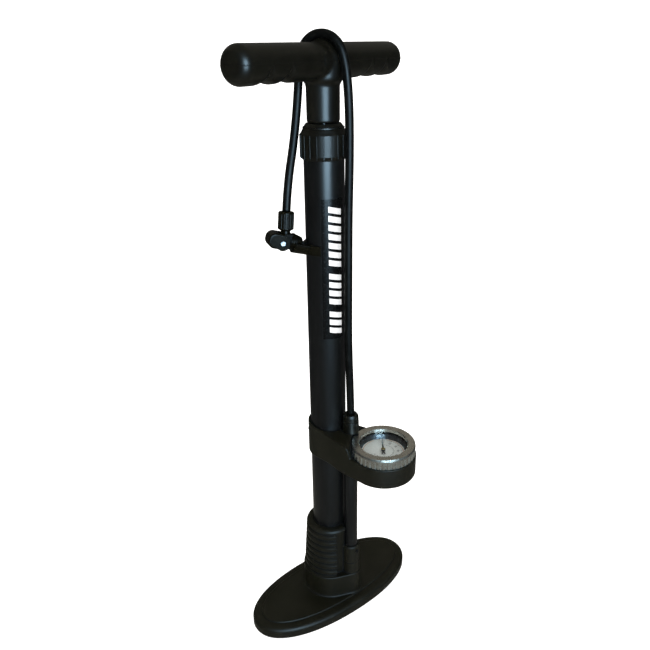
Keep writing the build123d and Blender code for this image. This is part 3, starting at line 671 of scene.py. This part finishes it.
def turned_metal(name, axis, dark, light, rough):
    """Metal turned on a lathe about an upright axis, with rings of tool marks."""
    material, tree, shader = principled(name, {"Metallic": 1.0})
    where = add(tree, "TexCoord").outputs["Object"]
    offset = {0: where, 1: (-axis.x, -axis.y, 0.0)}
    shifted = add(tree, "VectorMath", offset, operation="ADD").outputs[0]
    parts = add(tree, "SeparateXYZ", {"Vector": shifted}).outputs
    flat = add(tree, "CombineXYZ", {"X": parts["X"], "Y": parts["Y"]}).outputs[0]
    radius = add(tree, "VectorMath", {0: flat}, operation="LENGTH").outputs["Value"]
    rings = add(tree, "CombineXYZ", {"X": radius, "Y": parts["Z"]}).outputs[0]
    marks = noise(tree, rings, 2200.0, detail=3.0, roughness=0.7)
    patch = noise(tree, where, 220.0, detail=4.0, roughness=0.6)
    polish = remap(tree, edge_mask(tree, 0.0005), 0.0, 1.0, 0.0, 0.35)
    colour = mixed(tree, remap(tree, patch, 0.35, 0.65), dark, light)
    colour = mixed(tree, polish, colour, brighter(light, 1.5))
    roughness = remap(tree, patch, 0.3, 0.7, rough - 0.03, rough + 0.04)
    normal = bumped(tree, marks, strength=0.10, distance=0.00002)
    finish(tree, shader, colour, roughness, normal)
    return material


def printed(name, dark, light, rough, specular):
    """Smooth ink, enamel or film, with a faint mottle and a few marks."""
    material, tree, shader = principled(name, {"Specular IOR Level": specular})
    where = place(tree)
    mottle = noise(tree, where, 500.0, detail=4.0, roughness=0.6)
    marks = noise(tree, where, 2000.0, detail=2.0)
    colour = mixed(tree, remap(tree, mottle, 0.3, 0.7), dark, light)
    roughness = remap(tree, mottle, 0.3, 0.7, rough - 0.05, rough + 0.06)
    normal = bumped(tree, marks, strength=0.05, distance=0.00003)
    finish(tree, shader, colour, roughness, normal)
    return material


def clear(name, tint):
    """Clear window: light passes straight through, and the surface mirrors at a slant."""
    material = bpy.data.materials.new(name)
    material.use_nodes = True
    tree = material.node_tree
    tree.nodes.clear()
    rough = remap(tree, noise(tree, place(tree), 300.0, detail=4.0), 0.3, 0.7, 0.01, 0.05)
    mirror = add(tree, "BsdfGlossy", {"Roughness": rough})
    through = add(tree, "BsdfTransparent", {"Color": (*tint, 1.0)})
    slant = add(tree, "LayerWeight", {"Blend": 0.5}).outputs["Facing"]
    steep = maths(tree, "POWER", slant, 5.0)
    share = remap(tree, steep, 0.0, 1.0, 0.04, 0.94)
    film = add(tree, "MixShader", {0: share, 1: through.outputs[0], 2: mirror.outputs[0]})
    add(tree, "OutputMaterial", {"Surface": film.outputs[0]})
    return material


GAUGE_LOW, GAUGE_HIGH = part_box("gauge_bezel")
GAUGE_AXIS = (GAUGE_LOW + GAUGE_HIGH) / 2

BLACK = (0.0026, 0.0026, 0.0012)
BLACK_LIGHT = (0.0056, 0.0054, 0.0028)
CHUCK_MOULDINGS = ("chuck_body", "chuck_lever", "chuck_cap", "chuck_clip", "hose_end_nut")
MATT_MOULDINGS = ("base_foot", "gauge_bracket")
LOOKS = {node: "chuck_black" for node in CHUCK_MOULDINGS}
LOOKS |= {node: "matt_black" for node in MATT_MOULDINGS}

MATERIALS = {
    "moulded_black": moulded("moulded_black", BLACK, BLACK_LIGHT, 0.34, specular=0.22),
    "matt_black": moulded(
        "matt_black",
        (0.0060, 0.0061, 0.0031),
        (0.0096, 0.0094, 0.0052),
        0.43,
        specular=0.12,
        # how strongly painted shade darkens the recesses
        recess_shade=0.9,
    ),
    "chuck_black": moulded("chuck_black", BLACK, BLACK_LIGHT, 0.26, specular=0.07),
    "nylon_white": moulded("nylon_white", (0.62, 0.60, 0.55), (0.72, 0.70, 0.65), 0.45, wear=0.1),
    "barrel_paint": coated(
        "barrel_paint", (0.0026, 0.0029, 0.0029), (0.0044, 0.0048, 0.0048), 0.31
    ),
    "seal_rubber": rubber("seal_rubber", (0.008, 0.008, 0.008), (0.020, 0.020, 0.020), 0.55),
    "hose_rubber": rubber(
        "hose_rubber", (0.0018, 0.0021, 0.0018), (0.0040, 0.0043, 0.0039), 0.38, source="UV"
    ),
    "screw_black": metal(
        "screw_black", (0.012, 0.012, 0.012), (0.035, 0.035, 0.036), 0.38, (1, 1, 0.4)
    ),
    "steel_zinc": metal("steel_zinc", (0.36, 0.36, 0.36), (0.62, 0.62, 0.60), 0.36, (1, 1, 0.2)),
    "rod_chrome": metal(
        "rod_chrome",
        (0.55, 0.56, 0.57),
        (0.72, 0.72, 0.73),
        0.14,
        (1, 1, 0.1),
        scale=1500.0,
        brushed=0.05,
    ),
    "pin_steel": metal("pin_steel", (0.36, 0.37, 0.39), (0.60, 0.60, 0.60), 0.34, (1, 1, 0.3)),
    "brass_fittings": metal(
        "brass_fittings", (0.50, 0.34, 0.13), (0.72, 0.53, 0.25), 0.32, (1, 1, 0.3)
    ),
    "dial_ring_paint": metal(
        "dial_ring_paint",
        (0.06, 0.065, 0.07),
        (0.11, 0.12, 0.125),
        0.28,
        (1, 1, 1),
        scale=700.0,
        brushed=0.05,
    ),
    "bezel_metal": turned_metal(
        "bezel_metal", GAUGE_AXIS, (0.58, 0.545, 0.475), (0.68, 0.645, 0.565), 0.27
    ),
    "label_film": printed(
        "label_film", (0.0022, 0.0025, 0.0026), (0.0040, 0.0044, 0.0046), 0.24, specular=0.16
    ),
    "label_print": printed("label_print", (0.80, 0.82, 0.84), (0.88, 0.89, 0.90), 0.40, 0.4),
    "dial_print": printed("dial_print", (0.78, 0.77, 0.72), (0.86, 0.85, 0.80), 0.42, 0.4),
    "dial_ink": printed("dial_ink", (0.012, 0.012, 0.013), (0.030, 0.030, 0.030), 0.5, 0.3),
    "dial_orange": printed("dial_orange", (0.52, 0.24, 0.10), (0.66, 0.34, 0.15), 0.5, 0.3),
    "needle_paint": printed(
        "needle_paint", (0.010, 0.010, 0.011), (0.022, 0.022, 0.022), 0.38, 0.4
    ),
    "gauge_glass": clear("gauge_glass", (0.93, 0.95, 0.96)),
}

for part in frame["record"]["subparts"]:
    look = LOOKS.get(part["node"], part["material_slot"])
    shown = NODES[part["node"]].data
    shown.materials.clear()
    shown.materials.append(MATERIALS[look])

PIECE_MATERIALS = [
    (hose, "hose_rubber"),
    (moulded_handle, "moulded_black"),
    (moulded_bracket, "matt_black"),
    (stripes, "label_print"),
    (scale, "dial_ink"),
    (numbers, "dial_ink"),
    (border, "dial_orange"),
    (cap, "brass_fittings"),
    (coil, "steel_zinc"),
]
for piece, look in PIECE_MATERIALS:
    piece.data.materials.clear()
    piece.data.materials.append(MATERIALS[look])

# ---- floor and light -----------------------------------------------------------------
FLOOR_REACH = 6.0
FLOOR_DROP = 0.0004
CURVE_R = 1.5               # of the floor's turn up into the wall
WALL_TOP = 6.0
FLOOR_SIDES = 96
# Where the light comes from
ABOVE = polar(1.0, 54.0, 4.0)
BELOW = Vector((0.0, 0.0, -1.0))
WINDOW_PLACE = polar(1.5, -110.0, 0.68)
WINDOW_AIM = (0, 0, 0.45)
WINDOW_BLUE = (0.53, 0.79, 1.0)
FILL_WHITE = (1.0, 0.97, 0.92)
SHEEN_CREAM = (1.0, 0.96, 0.82)
BOUNCE_CREAM = (1.0, 0.98, 0.84)
WORLD_WHITE = (0.95, 0.97, 1.0, 1.0)


def make_floor():
    """A pale floor, just below the feet, that turns up into a wall all round."""
    mesh = bmesh.new()
    profile = [(FLOOR_REACH * i / 12, 0.0) for i in range(1, 13)]
    for k in range(1, 11):
        angle = math.radians(9 * k)
        out = CURVE_R * math.sin(angle)
        profile.append((FLOOR_REACH + out, CURVE_R - CURVE_R * math.cos(angle)))
    profile.append((FLOOR_REACH + CURVE_R, WALL_TOP))
    turns = [360 * k / FLOOR_SIDES for k in range(FLOOR_SIDES)]
    rings = []
    for reach, z in profile:
        rings.append([mesh.verts.new(polar(reach, turn, z - FLOOR_DROP)) for turn in turns])
    centre = mesh.verts.new((0, 0, -FLOOR_DROP))
    for k in range(FLOOR_SIDES):
        mesh.faces.new((centre, rings[0][k], rings[0][(k + 1) % FLOOR_SIDES]))
    for low, high in zip(rings, rings[1:]):
        for k in range(FLOOR_SIDES):
            after = (k + 1) % FLOOR_SIDES
            mesh.faces.new((low[k], high[k], high[after], low[after]))
    for face in mesh.faces:
        face.smooth = True
    data = bpy.data.meshes.new("floor")
    mesh.to_mesh(data)
    mesh.free()
    floor = link(bpy.data.objects.new("floor", data))
    data.materials.append(floor_paper())
    floor.visible_glossy = False
    floor.visible_shadow = False


def floor_paper():
    """Evenly bright white paper, seen only from above."""
    bright = {"Specular IOR Level": 0.0, "Roughness": 0.9}
    bright |= {"Emission Color": (1, 1, 1, 1), "Emission Strength": 0.72}
    material, tree, shader = principled("floor_paper", bright)
    tint = remap(tree, noise(tree, place(tree), 3.0, detail=3.0), 0.3, 0.7)
    colour = mixed(tree, tint, (0.86, 0.86, 0.86), (0.88, 0.88, 0.88))
    tree.links.new(colour, shader.inputs["Base Color"])
    below = add(tree, "NewGeometry").outputs["Backfacing"]
    unseen = add(tree, "BsdfTransparent")
    sided = add(tree, "MixShader", {0: below, 1: shader.outputs["BSDF"], 2: unseen.outputs[0]})
    tree.links.new(sided.outputs[0], tree.nodes["Material Output"].inputs["Surface"])
    return material


def softbox(name, position, target, colour, width, height, power):
    data = bpy.data.lights.new(name, "AREA")
    data.shape = "RECTANGLE"
    data.size = width
    data.size_y = height
    data.energy = power
    data.color = colour
    light = link(bpy.data.objects.new(name, data))
    light.location = position
    aim = Vector(target) - position
    light.rotation_euler = aim.to_track_quat("-Z", "Y").to_euler()
    return light


def dome(name, source, colour, energy, spread):
    """Soft light from the side of that source, as wide as the angle given."""
    data = bpy.data.lights.new(name, "SUN")
    data.energy = energy
    data.angle = math.radians(spread)
    data.color = colour
    light = link(bpy.data.objects.new(name, data))
    light.rotation_euler = source.to_track_quat("Z", "Y").to_euler()
    return light


def make_light():
    world = bpy.data.worlds.new("studio")
    world.use_nodes = True
    background = world.node_tree.nodes["Background"]
    background.inputs["Color"].default_value = WORLD_WHITE
    background.inputs["Strength"].default_value = 0.05
    SCENE.world = world
    window = softbox(
        "window", WINDOW_PLACE, WINDOW_AIM, WINDOW_BLUE, width=0.90, height=1.0, power=84.0
    )
    window.visible_diffuse = False
    fill = dome("fill", ABOVE, FILL_WHITE, energy=1.32, spread=90.0)
    fill.visible_glossy = False
    dome("sheen", ABOVE, SHEEN_CREAM, energy=0.36, spread=120.0)
    bounce = dome("bounce", BELOW, BOUNCE_CREAM, energy=0.50, spread=112.0)
    bounce.visible_diffuse = False


make_floor()
make_light()
SCENE.view_settings.view_transform = "Standard"
SCENE.view_settings.look = "None"
